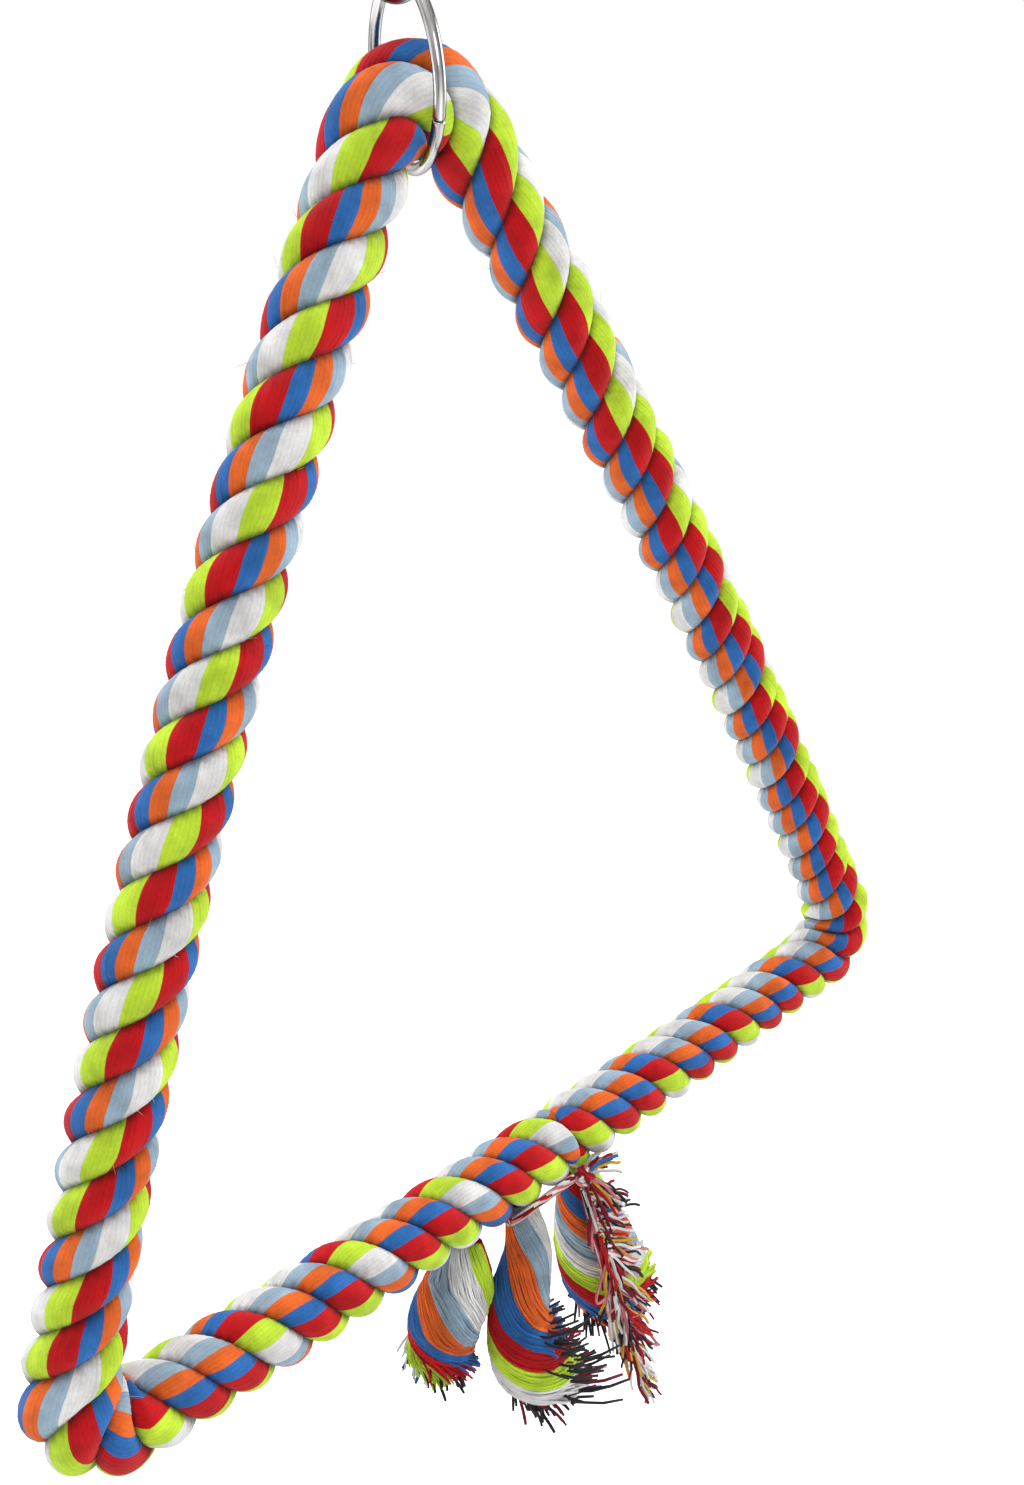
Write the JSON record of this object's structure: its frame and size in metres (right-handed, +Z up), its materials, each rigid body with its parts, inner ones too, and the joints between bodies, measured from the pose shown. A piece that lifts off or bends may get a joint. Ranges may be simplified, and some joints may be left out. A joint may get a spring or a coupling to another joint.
{
  "type": "rope swing perch",
  "caption": "Triangular hanging bird perch of colourful laid cotton rope round a bent wire core, with loose strand tails under its bar, hung by a wire ring in a quick link.",
  "frame": {"origin": "hang point: inside the top bend of the quick link, where a hook or bar carries it", "axes": "+Z up, X along the perch bar from its left end, -Y to the front"},
  "size_m": [0.3614, 0.0512, 0.5003],
  "materials": {
    "steel": "polished",
    "core_wire": "drawn",
    "white_yarn": "matte cotton",
    "lime_yarn": "matte cotton",
    "red_yarn": "matte cotton",
    "blue_yarn": "matte cotton",
    "orange_yarn": "matte cotton",
    "sky_yarn": "matte cotton",
    "core_yarn": "matte cotton",
    "tie_yarn": "matte mixed yarn"
  },
  "bodies": {
    "hanger": {"quick_link": "steel"},
    "nut": {"quick_link_nut": "steel"},
    "ring": {"ring": "steel"},
    "perch": {"core_wire": "core_wire", "rope_strand_1": "lime_yarn", "rope_strand_2": "blue_yarn", "rope_strand_3": "orange_yarn", "tail_1_white": "white_yarn", "tail_1_lime": "lime_yarn", "tail_1_red": "red_yarn", "tail_1_blue": "blue_yarn", "tail_1_orange": "orange_yarn", "tail_1_sky": "sky_yarn", "tail_1_core": "core_yarn", "tail_2_white": "white_yarn", "tail_2_lime": "lime_yarn", "tail_2_red": "red_yarn", "tail_2_blue": "blue_yarn", "tail_2_orange": "orange_yarn", "tail_2_sky": "sky_yarn", "tail_2_core": "core_yarn", "tail_3_white": "white_yarn", "tail_3_lime": "lime_yarn", "tail_3_red": "red_yarn", "tail_3_blue": "blue_yarn", "tail_3_orange": "orange_yarn", "tail_3_sky": "sky_yarn", "tail_3_core": "core_yarn", "tie_band": "tie_yarn", "tie_knot": "tie_yarn", "tie_stem": "tie_yarn", "tie_tuft_1": "tie_yarn", "tie_tuft_2": "tie_yarn", "tie_tuft_3": "tie_yarn", "tie_tuft_4": "tie_yarn", "tie_tuft_5": "tie_yarn", "tie_tuft_6": "tie_yarn", "tie_tuft_7": "tie_yarn"}
  },
  "joints": [
    {"name": "nut_travel", "type": "slide", "parent": "hanger", "child": "nut", "axis": [0, 0, 1], "range_m": [0, 0.0112]},
    {"name": "ring_swing", "type": "hinge", "parent": "hanger", "child": "ring", "pos_m": [0, 0, -0.04025], "axis": [1, 0, 0], "range_deg": [-35, 35]},
    {"name": "perch_swing", "type": "hinge", "parent": "ring", "child": "perch", "pos_m": [0, 0, -0.08105], "axis": [-0.3173, -0.9483, 0], "range_deg": [-35, 35]}
  ]
}
